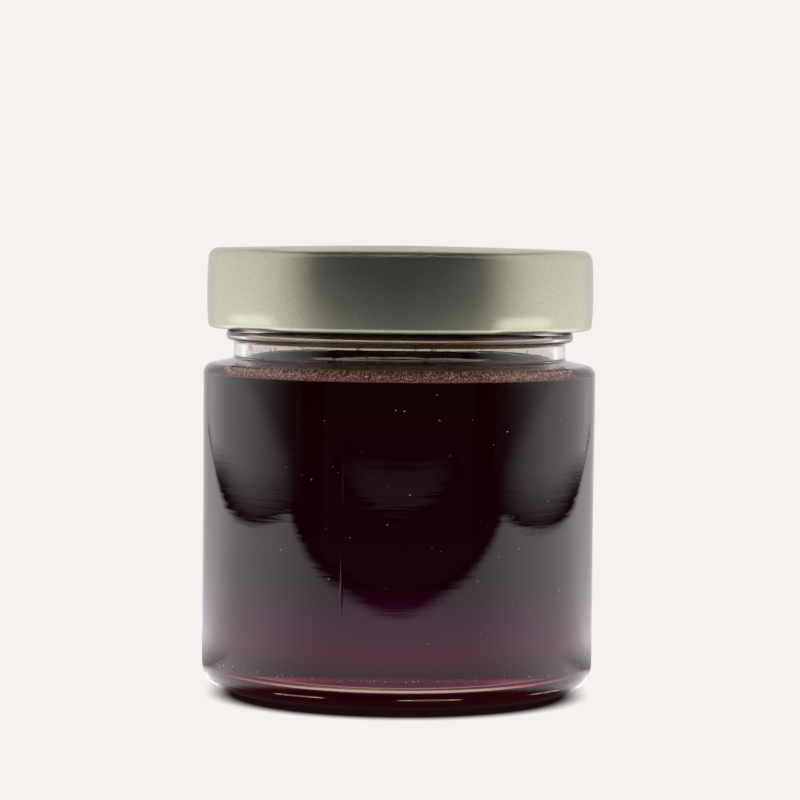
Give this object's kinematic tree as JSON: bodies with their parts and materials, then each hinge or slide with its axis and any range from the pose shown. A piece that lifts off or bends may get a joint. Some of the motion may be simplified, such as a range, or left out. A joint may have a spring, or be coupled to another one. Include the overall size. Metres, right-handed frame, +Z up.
{
  "type": "jar of honey",
  "caption": "Shut straight-sided glass jar filled with dark honey, with a deep metal twist-off lid.",
  "frame": {"origin": "middle of the base, on the surface the jar stands on", "axes": "+Z up along the jar's axis, -Y towards the viewer of the picture"},
  "size_m": [0.075, 0.075, 0.0846],
  "materials": {
    "clear_glass": "clear, polished",
    "dark_honey": "dark garnet syrup",
    "gold_tinplate": "satin pale gold"
  },
  "bodies": {
    "root": {"glass_jar": "clear_glass", "honey": "dark_honey", "lid": "gold_tinplate"}
  },
  "joints": []
}
